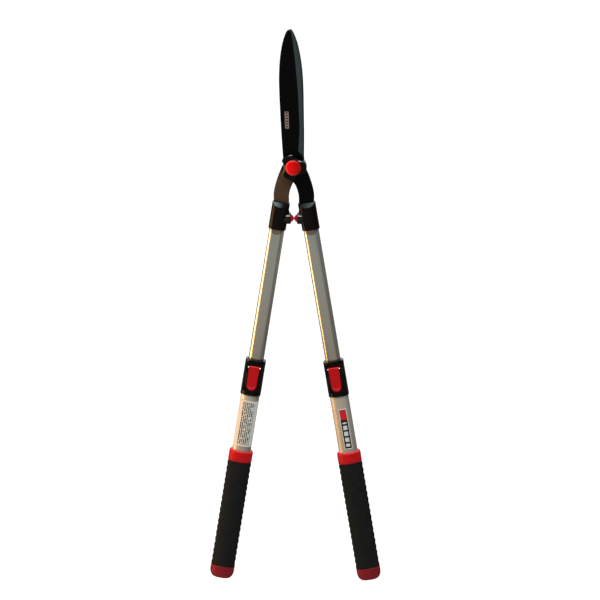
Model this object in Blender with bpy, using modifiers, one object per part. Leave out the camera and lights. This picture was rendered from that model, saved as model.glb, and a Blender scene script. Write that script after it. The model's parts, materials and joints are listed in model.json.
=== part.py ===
"""Telescopic hedge shears.

Two ground blades turn on one bolt, and each has an arm and a tang that ends in an oval handle. The lower
half of each handle slides over the upper one and is held by a flip lever. The shears stand with the blades
up and the tension knob facing -Y. The origin is the centre of the peg that the closed shears hang on, in
the gap under the crotch of the two arms. Lengths are in metres, written as millimetres times MM.
"""

from math import atan, cos, copysign, hypot, pi, radians, sin, sqrt

import bmesh
import bpy
from mathutils import Matrix, Vector

MM = 0.001

# Fits
GAP = 0.3 * MM                  # air between two pieces that touch
REACH = 2 * MM                  # how far a cutter runs past the face it opens
OVERLAP = 1 * MM                # how far two shapes made one run into each other

# Frame: where the pieces meet
PEG_DROP = 39.4 * MM             # hanging peg, below the pivot
SPLAY = atan(0.160)             # each closed handle, from the middle plane
AXIS_OFFSET = 9.8 * MM          # handle axis from the middle, level with the pivot
SIDES = {"left": -1, "right": 1}

# Blades
BLADE_LENGTH = 209.6 * MM       # pivot to tip
BLADE_WIDTH = 36 * MM
BLADE_LEAN = radians(1.6)       # the closed blades lean to the left
PLATE = 4 * MM                  # thickness of the stamped steel
HEEL = 13.6 * MM                # where the cutting edge starts, above the pivot
EDGE_INSET = 1.2 * MM           # cutting edge inside the other blade's spine
EDGE_LAND = 0.5 * MM            # thickness left at the cutting edge
# Share of the blade's length, and share of its half width there
BLADE_PROFILE = [(0.065, 0.865), (0.24, 0.938), (0.418, 0.98), (0.537, 1.0), (0.656, 0.983),
                 (0.776, 0.877), (0.876, 0.69), (0.943, 0.47), (0.986, 0.255)]
TIP_OFFSET = 0.09               # share of the half width, towards the spine
# Share of the blade's length, and width of the ground bevel there
BEVEL_WIDTHS = [(0.065, 0), (0.073, 7.4 * MM), (0.268, 4.9 * MM), (0.543, 6.8 * MM), (0.695, 8 * MM),
                (0.858, 6.4 * MM), (0.96, 2.6 * MM), (1, 0)]

# Arms and tangs. Points are (outwards, up) from the pivot.
ARM_OUTER = [(15 * MM, 5 * MM), (18.6 * MM, -4 * MM), (22.6 * MM, -13.5 * MM), (26.3 * MM, -24.5 * MM),
             (29.1 * MM, -35 * MM)]
HUB_INNER = [(-16 * MM, 4 * MM), (-15.8 * MM, -5 * MM), (-13 * MM, -14.3 * MM), (-7 * MM, -21 * MM),
             (0, -25.8 * MM), (4.5 * MM, -34.5 * MM)]
ARM_WIDTH = 23 * MM
ARM_BULGE = 1.9 * MM            # the arm bows outwards above the ferrule,
OUTER_BOW = 9.7 * MM            # this far above its shoulder on the outer edge
INNER_BOW = 13 * MM             # and this far on the inner one
TANG_WIDTH = 14 * MM
TANG_REACH = 15.5 * MM          # below the ferrule

# Pivot: heights are measured forwards from the middle plane between the blades
BOLT_RADIUS = 4 * MM
BOLT_HEAD_RADIUS = 9 * MM
BOLT_HEAD = 3 * MM
CHAMFER = 0.7 * MM              # on the bolt's head and end
NECK_WIDTH = 8 * MM
WASHER_RADIUS = 11 * MM
WASHER = 1.2 * MM
NUT_WIDTH = 13 * MM             # across the flats
NUT = 6.2 * MM
KNOB_RADIUS = 20 * MM
KNOB_WAIST = 14 * MM
KNOB_LOBE = radians(55)         # width of each lobe
KNOB_TURN = radians(2)
KNOB_HEIGHT = 10 * MM
KNOB_EDGE = 1.5 * MM
CAP_RADIUS = 11.8 * MM
CAP_SEAT = 1.9 * MM             # depth of the cap's recess
CAP_SIDE = 1.1 * MM             # height of the cap's side
CAP_BEVEL = 0.9 * MM            # rise of the bevelled rim
CAP_RIM = 2 * MM                # width of the bevelled rim
CAP_DOME = 1.4 * MM             # rise of the dome inside the rim

# Handle section: a flattened oval. Every other piece on the handle is this oval, grown evenly.
TUBE_WIDTH = 23 * MM
TUBE_DEPTH = 16.5 * MM
OVAL_POWER = 2.4
OVAL_POINTS = 28
INNER_WALL = 1.3 * MM
OUTER_WALL = 1.2 * MM
BUSH_WALL = 0.8 * MM
FERRULE_WALL = 1.5 * MM
HOUSING_WALL = 1.0 * MM
GRIP_WALL = 2.85 * MM
COLLAR_WALL = 3.5 * MM
END_CAP_WALL = 3.6 * MM
LABEL = 0.3 * MM

# Handle places, along the axis from the level of the pivot
FERRULE_TOP = 58 * MM
FERRULE_BOTTOM = FERRULE_TOP + 41.5 * MM
FERRULE_ROOF = 5 * MM
SHOULDER_SLOPE = radians(50)    # the ferrule's front and back fall away from the arm, this far from level
SHOULDER_FLAT = 4.8 * MM        # and start this far from the middle plane
TANG_END = FERRULE_BOTTOM + TANG_REACH
PLUG_END = TANG_END + 6 * MM
FERRULE_SCREWS = {"upper": FERRULE_TOP + 14 * MM, "lower": FERRULE_BOTTOM - 6.5 * MM}
HOUSING_TOP = 305.2 * MM
HOUSING_BOTTOM = HOUSING_TOP + 54.8 * MM
OUTER_TUBE_TOP = HOUSING_TOP + 18.2 * MM
BUSH_LENGTH = 37 * MM
HOUSING_SCREW = HOUSING_BOTTOM - 11.6 * MM
# Top and bottom of each label, and the angles from the front that it spans, positive to the right
LABELS = {"left": (HOUSING_BOTTOM + 8.4 * MM, HOUSING_BOTTOM + 80.4 * MM, radians(-70), radians(70)),
          "right": (HOUSING_BOTTOM + 19.4 * MM, HOUSING_BOTTOM + 82.4 * MM, radians(-12.5), radians(33))}
COLLAR_TOP = HOUSING_BOTTOM + 88 * MM
GRIP_TOP = COLLAR_TOP + 17.3 * MM
GRIP_LENGTH = 165.1 * MM
GRIP_BOTTOM = GRIP_TOP + GRIP_LENGTH
END_CAP_BOTTOM = GRIP_BOTTOM + 19.2 * MM
END_CAP_PLUG = 22 * MM
END_CAP_ROUND = 8 * MM

# Screws
SCREW_RADIUS = 2 * MM
SCREW_HEAD_RADIUS = 3.6 * MM
SCREW_HEAD = 2.2 * MM
SCREW_CROWN = 1.1 * MM          # rounding of the pan head
FERRULE_SCREW_TIP = 5.6 * MM    # in front of the middle plane

# Bumpers
BUMPER_DROP = FERRULE_TOP + 23.9 * MM
CUP_RADIUS = 8.5 * MM
CUP_FACE = 5 * MM               # from the middle plane
CUP_ROOT = 15.5 * MM
SOCKET_RADIUS = 5.5 * MM
SOCKET_DEPTH = 3.4 * MM
NOSE_RADIUS = 6.2 * MM
NOSE_TIP = 2.4 * MM
NOSE_EDGE = 0.5 * MM            # rounding at the nose's tip and base
RIB = 2 * MM                    # thickness of the rib above the cup
RIB_RISE = 5 * MM               # height at its outer end, above the cup
RIB_REACH = 3 * MM              # its top starts this far behind the cup's face

# Lever lock
DECK_WIDTH = 25 * MM            # flat front of the housing
DECK_FRONT = 13 * MM            # in front of the handle axis
DECK_TOP = HOUSING_TOP + 3.2 * MM
DECK_BOTTOM = DECK_TOP + 45 * MM
EAR_BOTTOM = DECK_TOP + 14 * MM
EAR_FRONT = 16.8 * MM
RAIL_FRONT = 14.5 * MM          # ribs beside the lever
DECK_STEP = 1 * MM              # ears and rails stand this far inside the deck's edges
LEVER_WIDTH = 16 * MM
LEVER_TAB_WIDTH = 14.7 * MM
LEVER_LENGTH = 34.8 * MM
LEVER = 3.2 * MM
LEVER_ROOM = 1.6 * MM           # between the lever and the rails, where the pin shows
PIN_RADIUS = 1.2 * MM
PIN_PLACE = DECK_TOP + 7.2 * MM
PIN_FORWARD = 14.6 * MM
CAM_THROW = 0.5 * MM
PAD = 2.5 * MM
PAD_LENGTH = 9.8 * MM

# What follows from those
MATING = GAP / 2                # each blade stands this far off the middle plane
OUTER_TUBE_GROW = GAP + BUSH_WALL + GAP + OUTER_WALL
OUTER_BORE_GROW = OUTER_TUBE_GROW - OUTER_WALL
SEAT_GROW = OUTER_TUBE_GROW + GAP
HOUSING_GROW = SEAT_GROW + HOUSING_WALL
FERRULE_GROW = GAP + FERRULE_WALL
INNER_TUBE_TOP = FERRULE_TOP + FERRULE_ROOF + GAP
BUSH_TOP = OUTER_TUBE_TOP + GAP
INNER_TUBE_BOTTOM = BUSH_TOP + BUSH_LENGTH
SHOULDER = FERRULE_TOP - GAP
PAD_FRONT = TUBE_DEPTH / 2 + GAP + PAD
CAM_RADIUS = PIN_FORWARD - PAD_FRONT - GAP - CAM_THROW
FLAT = (pi / 2, 0, 0)           # lays an outline in the XZ plane, its thickness going forwards

for old in list(bpy.data.objects):
    bpy.data.objects.remove(old, do_unlink=True)
shears = bpy.data.collections.new("hedge_shears")
cutters = bpy.data.collections.new("cutters")
bpy.context.scene.collection.children.link(shears)
bpy.context.scene.collection.children.link(cutters)


def finish(name, colour, roughness, metallic=0.0):
    """A plain material."""
    material = bpy.data.materials.new(name)
    material.use_nodes = True
    shader = material.node_tree.nodes["Principled BSDF"]
    shader.inputs["Base Color"].default_value = (*colour, 1)
    shader.inputs["Roughness"].default_value = roughness
    shader.inputs["Metallic"].default_value = metallic
    material.diffuse_color = (*colour, 1)
    return material


COATED = finish("coated_steel", (0.02, 0.02, 0.022), 0.35, 0.3)
STEEL = finish("zinc_steel", (0.6, 0.6, 0.6), 0.35, 1)
ALLOY = finish("anodised_aluminium", (0.42, 0.42, 0.4), 0.35, 1)
BLACK = finish("black_nylon", (0.012, 0.012, 0.012), 0.45)
RED = finish("red_plastic", (0.62, 0.01, 0.02), 0.35)
NOSE = finish("red_rubber", (0.5, 0.02, 0.03), 0.7)
GRIP = finish("grip_rubber", (0.012, 0.012, 0.011), 0.85)
PAPER = finish("label_film", (0.6, 0.6, 0.58), 0.5)
PANEL = finish("panel_film", (0.02, 0.02, 0.02), 0.4)


def empty(name, parent=None, at=(0, 0, 0), turn=(0, 0, 0)):
    """A joint's axis or a handle's frame."""
    axis = bpy.data.objects.new(name, None)
    axis.empty_display_size = 0.02
    axis.parent = parent
    axis.location = at
    axis.rotation_euler = turn
    shears.objects.link(axis)
    return axis


def add(name, mesh, parent, material=None, at=(0, 0, 0), turn=(0, 0, 0)):
    """A piece of the shears, or a cutter where it has no material."""
    obj = bpy.data.objects.new(name, mesh)
    obj.parent = parent
    obj.location = at
    obj.rotation_euler = turn
    if material:
        mesh.materials.append(material)
        mesh.shade_smooth()
        mesh.set_sharp_from_angle(angle=radians(32))
        shears.objects.link(obj)
    else:
        obj.hide_render = True
        obj.display_type = "WIRE"
        cutters.objects.link(obj)
    return obj


def boolean(obj, tool, operation):
    modifier = obj.modifiers.new(tool.name, "BOOLEAN")
    modifier.operation = operation
    modifier.object = tool


def prism(outlines, low, high):
    """The first outline, less the others, from low to high along Z."""
    curve = bpy.data.curves.new("outline", "CURVE")
    curve.dimensions = "2D"
    curve.fill_mode = "BOTH"
    curve.extrude = (high - low) / 2
    for outline in outlines:
        spline = curve.splines.new("POLY")
        spline.points.add(len(outline) - 1)
        for point, (x, y) in zip(spline.points, outline):
            point.co = (x, y, 0, 1)
        spline.use_cyclic_u = True
    guide = bpy.data.objects.new("outline", curve)
    cutters.objects.link(guide)
    mesh = bpy.data.meshes.new_from_object(guide.evaluated_get(bpy.context.evaluated_depsgraph_get()))
    bpy.data.objects.remove(guide)
    shape = bmesh.new()
    shape.from_mesh(mesh)
    bmesh.ops.remove_doubles(shape, verts=shape.verts, dist=1e-6)
    bmesh.ops.translate(shape, verts=shape.verts, vec=(0, 0, (low + high) / 2))
    shape.to_mesh(mesh)
    shape.free()
    return mesh


def rod(radius, start, end, axis="Z", segments=24):
    """A cylinder along one of its own axes, from start to end."""
    shape = bmesh.new()
    bmesh.ops.create_cone(shape, cap_ends=True, segments=segments, radius1=radius, radius2=radius,
                          depth=end - start)
    bmesh.ops.translate(shape, verts=shape.verts, vec=(0, 0, (start + end) / 2))
    turn = {"X": Matrix.Rotation(pi / 2, 3, "Y"), "Y": Matrix.Rotation(-pi / 2, 3, "X"), "Z": Matrix.Identity(3)}
    bmesh.ops.rotate(shape, verts=shape.verts, matrix=turn[axis])
    mesh = bpy.data.meshes.new("rod")
    shape.to_mesh(mesh)
    shape.free()
    return mesh


def block(low, high):
    """A box between two corners."""
    low, high = Vector(low), Vector(high)
    shape = bmesh.new()
    bmesh.ops.create_cube(shape, size=1)
    bmesh.ops.scale(shape, verts=shape.verts, vec=high - low)
    bmesh.ops.translate(shape, verts=shape.verts, vec=(low + high) / 2)
    mesh = bpy.data.meshes.new("block")
    shape.to_mesh(mesh)
    shape.free()
    return mesh


def turned(name, profile, parent, material, at=(0, 0, 0), turn=(0, 0, 0), steps=28):
    """A (radius, height) profile, from the top of the axis round to the bottom, turned about Z."""
    shape = bmesh.new()
    points = [shape.verts.new((radius, 0, height)) for radius, height in profile]
    for start, end in zip(points, points[1:]):
        shape.edges.new((start, end))
    mesh = bpy.data.meshes.new(name)
    shape.to_mesh(mesh)
    shape.free()
    obj = add(name, mesh, parent, material, at, turn)
    screw = obj.modifiers.new("turn", "SCREW")
    screw.axis = "Z"
    screw.steps = screw.render_steps = steps
    screw.use_merge_vertices = True
    screw.merge_threshold = 1e-5
    return obj


def smooth(points, steps=4):
    """Points on a smooth curve through those given, ends included."""
    ends = [Vector(points[0]) * 2 - Vector(points[1]), Vector(points[-1]) * 2 - Vector(points[-2])]
    path = [ends[0], *map(Vector, points), ends[1]]
    found = []
    for before, start, end, after in zip(path, path[1:], path[2:], path[3:]):
        for step in range(steps):
            t = step / steps
            found.append(0.5 * (2 * start + (end - before) * t + (2 * before - 5 * start + 4 * end - after) * t ** 2
                                + (3 * start - before - 3 * end + after) * t ** 3))
    return [tuple(point) for point in found] + [tuple(points[-1])]


def circle(radius, count=28):
    return [(radius * cos(2 * pi * i / count), radius * sin(2 * pi * i / count)) for i in range(count)]


def along(table, place):
    """Reads a value between the rows of a table."""
    for (low, first), (high, second) in zip(table, table[1:]):
        if place <= high:
            return first + (second - first) * max(0, place - low) / (high - low)
    return table[-1][1]


def on_oval(angle, grow):
    """A point of the handle's oval, moved outwards by grow. Angle 0 is +X, and -90 degrees is the front."""
    a, b = TUBE_WIDTH / 2, TUBE_DEPTH / 2
    share_x = copysign(abs(cos(angle)) ** (2 / OVAL_POWER), cos(angle))
    share_y = copysign(abs(sin(angle)) ** (2 / OVAL_POWER), sin(angle))
    normal = (copysign(abs(share_x) ** (OVAL_POWER - 1), share_x) / a,
              copysign(abs(share_y) ** (OVAL_POWER - 1), share_y) / b)
    size = hypot(*normal)
    return a * share_x + grow * normal[0] / size, b * share_y + grow * normal[1] / size


def oval(grow):
    return [on_oval(2 * pi * (i + 0.5) / OVAL_POINTS, grow) for i in range(OVAL_POINTS)]


def sleeve(outer, inner, top, bottom):
    """A stretch of the handle between two places along its axis, hollow where inner is given."""
    return prism([oval(outer)] + ([oval(inner)] if inner is not None else []), -bottom, -top)


# The joints' axes. The left handle belongs to the back blade and the right one to the front blade.
pivot = empty("pivot", at=(0, 0, PEG_DROP))
half = {"left": empty("back_half", pivot), "right": empty("front_half", pivot)}
handle = {}
slide = {}
for name, side in SIDES.items():
    place = dict(at=(side * AXIS_OFFSET, 0, 0), turn=(0, -side * SPLAY, 0))
    handle[name] = empty(name + "_handle", half[name], **place)
    slide[name] = empty(name + "_slide", handle[name])


# Blades: one plate each, from the tip through the hub and the arm to the tang in the handle
def on_handle(outwards, place):
    """A point of the handle's frame, as (outwards, up) from the pivot."""
    return (AXIS_OFFSET + place * sin(SPLAY) + outwards * cos(SPLAY), outwards * sin(SPLAY) - place * cos(SPLAY))


def on_blade(across, up, side):
    """A point beside the blade's middle line, which leans to the left on both blades."""
    lean = BLADE_LEAN * side
    return across * cos(lean) - up * sin(lean), across * sin(lean) + up * cos(lean)


def blade_mesh(side):
    """The plate lies between the mating face and PLATE, with the edge ground on the far face."""
    width = BLADE_WIDTH / 2
    spine = [(-share * width, place * BLADE_LENGTH) for place, share in reversed(BLADE_PROFILE)]
    edge = [(share * width - EDGE_INSET, place * BLADE_LENGTH) for place, share in BLADE_PROFILE]
    edge[0] = (edge[0][0], HEEL)
    spine[-1] = (spine[-1][0], HEEL)
    tip = (-TIP_OFFSET * width, BLADE_LENGTH)
    edge = smooth(edge + [tip])
    spine = smooth([tip] + spine)[1:]
    bevels = {point: along(BEVEL_WIDTHS, point[1] / BLADE_LENGTH) for point in edge}
    outer = smooth([on_handle(ARM_WIDTH / 2, SHOULDER),
                    on_handle(ARM_WIDTH / 2 + ARM_BULGE, SHOULDER - OUTER_BOW)] + ARM_OUTER[::-1]
                   + [on_blade(*edge[0], side)], 3)[:-1]
    inner = smooth([on_blade(*spine[-1], side)] + HUB_INNER
                   + [on_handle(ARM_BULGE - ARM_WIDTH / 2, SHOULDER - INNER_BOW),
                      on_handle(-ARM_WIDTH / 2, SHOULDER)], 3)[1:]
    tang = [on_handle(across * TANG_WIDTH / 2, place) for across, place in
            [(-1, SHOULDER), (-1, TANG_END), (1, TANG_END), (1, SHOULDER)]]
    outline = outer + [on_blade(*point, side) for point in edge + spine] + inner + tang
    inwards = [0.0] * len(outer) + [bevels[point] for point in edge] + [0.0] * (len(spine) + len(inner) + 4)
    shape = bmesh.new()
    ring = [shape.verts.new((side * x, up, side * MATING)) for x, up in outline]
    shift = {(vert.co.x, vert.co.y): amount for vert, amount in zip(ring, inwards)}
    mating_face = face = shape.faces.new(ring)
    for thickness in (EDGE_LAND, PLATE - EDGE_LAND):
        new = bmesh.ops.extrude_face_region(shape, geom=[face])["geom"]
        if face is not mating_face:
            bmesh.ops.delete(shape, geom=[face], context="FACES_ONLY")
        face = next(item for item in new if isinstance(item, bmesh.types.BMFace))
        bmesh.ops.translate(shape, verts=face.verts, vec=(0, 0, side * thickness))
    for vert in face.verts:
        amount = shift[(vert.co.x, vert.co.y)]
        vert.co -= Vector((side * amount * cos(BLADE_LEAN), amount * sin(BLADE_LEAN), 0))
    bmesh.ops.recalc_face_normals(shape, faces=shape.faces)
    mesh = bpy.data.meshes.new("blade")
    shape.to_mesh(mesh)
    shape.free()
    return mesh


front_blade = add("front_blade", blade_mesh(1), half["right"], COATED, turn=FLAT)
back_blade = add("back_blade", blade_mesh(-1), half["left"], COATED, turn=FLAT)
blades = {"left": back_blade, "right": front_blade}
pivot_hole = add("pivot_hole", rod(BOLT_RADIUS + GAP, 0, PLATE + REACH), pivot, turn=FLAT)
boolean(front_blade, pivot_hole, "DIFFERENCE")
neck_half = NECK_WIDTH / 2 + GAP
neck_hole = add("neck_hole", block((-neck_half, -neck_half, -PLATE - REACH), (neck_half, neck_half, 0)),
                pivot, turn=FLAT)
boolean(back_blade, neck_hole, "DIFFERENCE")

# Pivot bolt, from the back: head, washer, square neck in the back blade, shank, spring washer and nut
blade_front = MATING + PLATE
washer_back = -blade_front - GAP
head_top = washer_back - WASHER - GAP
spring_washer_front = blade_front + GAP + WASHER
knob_back = spring_washer_front + GAP
nut_back = knob_back + GAP
bolt_end = nut_back + NUT
profile = [(0, bolt_end), (BOLT_RADIUS - CHAMFER, bolt_end), (BOLT_RADIUS, bolt_end - CHAMFER),
           (BOLT_RADIUS, head_top), (BOLT_HEAD_RADIUS, head_top),
           (BOLT_HEAD_RADIUS, head_top - BOLT_HEAD + CHAMFER),
           (BOLT_HEAD_RADIUS - CHAMFER, head_top - BOLT_HEAD), (0, head_top - BOLT_HEAD)]
pivot_bolt = turned("pivot_bolt", profile, half["left"], STEEL, turn=FLAT)
neck = add("square_neck", block((-NECK_WIDTH / 2, -NECK_WIDTH / 2, head_top - OVERLAP),
                                (NECK_WIDTH / 2, NECK_WIDTH / 2, -MATING - GAP)), half["left"], turn=FLAT)
boolean(pivot_bolt, neck, "UNION")
neck_corner = NECK_WIDTH / 2 * sqrt(2)
add("back_washer", prism([circle(WASHER_RADIUS), circle(neck_corner + GAP)], washer_back - WASHER, washer_back),
    half["left"], STEEL, turn=FLAT)
add("spring_washer", prism([circle(WASHER_RADIUS), circle(BOLT_RADIUS + GAP)], blade_front + GAP,
                           spring_washer_front), half["left"], STEEL, turn=FLAT)


# Tension knob: a disc with three scallops, the captive nut in its back and a domed cap in its front
def knob_outline(count=60):
    """Arcs of KNOB_RADIUS joined by hollows, whose arcs reach in to KNOB_WAIST."""
    spread = pi / 3 - KNOB_LOBE / 2
    across, up = KNOB_RADIUS * cos(spread), KNOB_RADIUS * sin(spread)
    centre = (across ** 2 + up ** 2 - KNOB_WAIST ** 2) / (2 * (across - KNOB_WAIST))
    radius = centre - KNOB_WAIST
    found = []
    for i in range(count):
        angle = 2 * pi * i / count
        off = (angle % (2 * pi / 3)) - pi / 3
        reach = KNOB_RADIUS
        if abs(off) < spread:
            reach = centre * cos(off) - sqrt(radius ** 2 - (centre * sin(off)) ** 2)
        found.append((reach * cos(angle + KNOB_TURN), reach * sin(angle + KNOB_TURN)))
    return found


def hexagon(width):
    return circle(width / sqrt(3), 6)


knob_axis = empty("knob_axis", half["left"])
tension_knob = add("tension_knob", prism([knob_outline()], knob_back, knob_back + KNOB_HEIGHT), knob_axis,
                   BLACK, turn=FLAT)
rounding = tension_knob.modifiers.new("edge", "BEVEL")
rounding.width = KNOB_EDGE
rounding.segments = 1
rounding.limit_method = "ANGLE"
rounding.angle_limit = radians(60)
cap_seat = knob_back + KNOB_HEIGHT - CAP_SEAT
pocket = add("nut_pocket", prism([hexagon(NUT_WIDTH + 2 * GAP)], knob_back - REACH, bolt_end + GAP), knob_axis,
             turn=FLAT)
seat = add("cap_seat", rod(CAP_RADIUS + GAP, cap_seat, cap_seat + CAP_SEAT + REACH, segments=28), knob_axis,
           turn=FLAT)
boolean(tension_knob, pocket, "DIFFERENCE")
boolean(tension_knob, seat, "DIFFERENCE")
add("pivot_nut", prism([hexagon(NUT_WIDTH), circle(BOLT_RADIUS + GAP, 24)], nut_back, bolt_end), knob_axis,
    STEEL, turn=FLAT)
cap_back = cap_seat + GAP
cap_side = cap_back + CAP_SIDE
dome = [((CAP_RADIUS - CAP_RIM) * sin(radians(a)), cap_side + CAP_BEVEL + CAP_DOME * cos(radians(a)))
        for a in range(0, 91, 18)]
turned("knob_cap", dome + [(CAP_RADIUS, cap_side), (CAP_RADIUS, cap_back), (0, cap_back)], knob_axis, RED,
       turn=FLAT)


# Upper handles: ferrule, tang plug, two screws from the back, bumper and inner tube
def screw(name, parent, at, length):
    """A pan-headed screw driven forwards from behind, with the underside of its head at its origin."""
    profile = [(0, SCREW_HEAD), (SCREW_HEAD_RADIUS - SCREW_CROWN, SCREW_HEAD),
               (SCREW_HEAD_RADIUS, SCREW_HEAD - SCREW_CROWN), (SCREW_HEAD_RADIUS, 0), (SCREW_RADIUS, 0),
               (SCREW_RADIUS, -length), (0, -length)]
    return turned(name, profile, parent, STEEL, at, turn=(-pi / 2, 0, 0), steps=16)


for name, side in SIDES.items():
    frame = handle[name]
    ferrule = add(name + "_ferrule", sleeve(FERRULE_GROW, None, FERRULE_TOP, FERRULE_BOTTOM), frame, BLACK)
    plug = add(name + "_tang_plug", sleeve(-INNER_WALL - GAP, None, INNER_TUBE_TOP, PLUG_END), frame, BLACK)
    inner_tube = add(name + "_inner_tube", sleeve(0, -INNER_WALL, INNER_TUBE_TOP, INNER_TUBE_BOTTOM), frame, ALLOY)
    add(name + "_slide_bush", sleeve(GAP + BUSH_WALL, GAP, BUSH_TOP, INNER_TUBE_BOTTOM), frame, BLACK)

    # The cup and its rib are moulded on the ferrule before its bore is formed
    low, high = sorted((side * CUP_FACE, side * CUP_ROOT))
    cup = add(name + "_cup", rod(CUP_RADIUS, low, high, "X"), half[name], at=(0, 0, -BUMPER_DROP))
    cup_top = CUP_RADIUS - BUMPER_DROP
    rib = prism([[(side * (CUP_FACE + OVERLAP), cup_top - OVERLAP), (side * CUP_ROOT, cup_top - OVERLAP),
                  (side * CUP_ROOT, cup_top + RIB_RISE), (side * (CUP_FACE + RIB_REACH), cup_top + RIB_RISE)]],
                -RIB / 2, RIB / 2)
    rib = add(name + "_rib", rib, half[name], turn=FLAT)
    slopes = []
    for way in (-1, 1):
        mesh = block((-TUBE_WIDTH, 0, 0), (TUBE_WIDTH, TUBE_DEPTH, TUBE_DEPTH))
        slopes.append(add(f"{name}_slope_{way}", mesh, frame, at=(0, way * SHOULDER_FLAT, -FERRULE_TOP),
                          turn=(-SHOULDER_SLOPE, 0, 0 if way > 0 else pi)))
    bore = add(name + "_ferrule_bore", sleeve(GAP, None, FERRULE_TOP + FERRULE_ROOF, FERRULE_BOTTOM + REACH), frame)
    back = -side * MATING
    slot = [back + GAP * side, back - side * (PLATE + GAP)]
    tang_slot = add(name + "_tang_slot", block((-TANG_WIDTH / 2 - GAP, min(slot), -TANG_END - GAP),
                                               (TANG_WIDTH / 2 + GAP, max(slot), -FERRULE_TOP + REACH)), frame)
    low, high = sorted((side * (CUP_FACE - REACH), side * (CUP_FACE + SOCKET_DEPTH)))
    socket = add(name + "_socket", rod(SOCKET_RADIUS, low, high, "X"), half[name], at=(0, 0, -BUMPER_DROP))
    boolean(ferrule, cup, "UNION")
    boolean(ferrule, rib, "UNION")
    for tool in (*slopes, bore, tang_slot, socket):
        boolean(ferrule, tool, "DIFFERENCE")
    boolean(plug, tang_slot, "DIFFERENCE")

    head_seat = TUBE_DEPTH / 2 + FERRULE_GROW + GAP
    for level, place in FERRULE_SCREWS.items():
        screw(f"{name}_ferrule_screw_{level}", frame, (0, head_seat, -place), head_seat + FERRULE_SCREW_TIP)
        hole = add(f"{name}_screw_hole_{level}", rod(SCREW_RADIUS + GAP, -FERRULE_SCREW_TIP - GAP,
                                                    head_seat + REACH, "Y", 16), frame, at=(0, 0, -place))
        for target in (ferrule, plug, inner_tube, blades[name]):
            boolean(target, hole, "DIFFERENCE")

    nose = CUP_FACE - GAP - MATING
    profile = [(0, nose), (NOSE_TIP - NOSE_EDGE, nose), (NOSE_TIP, nose - NOSE_EDGE),
               (NOSE_RADIUS, NOSE_EDGE), (NOSE_RADIUS, 0), (SOCKET_RADIUS - GAP, 0),
               (SOCKET_RADIUS - GAP, -SOCKET_DEPTH), (0, -SOCKET_DEPTH)]
    turned(name + "_bumper", profile, half[name], NOSE, (side * (CUP_FACE - GAP), 0, -BUMPER_DROP),
           (0, -side * pi / 2, 0), 20)

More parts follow.
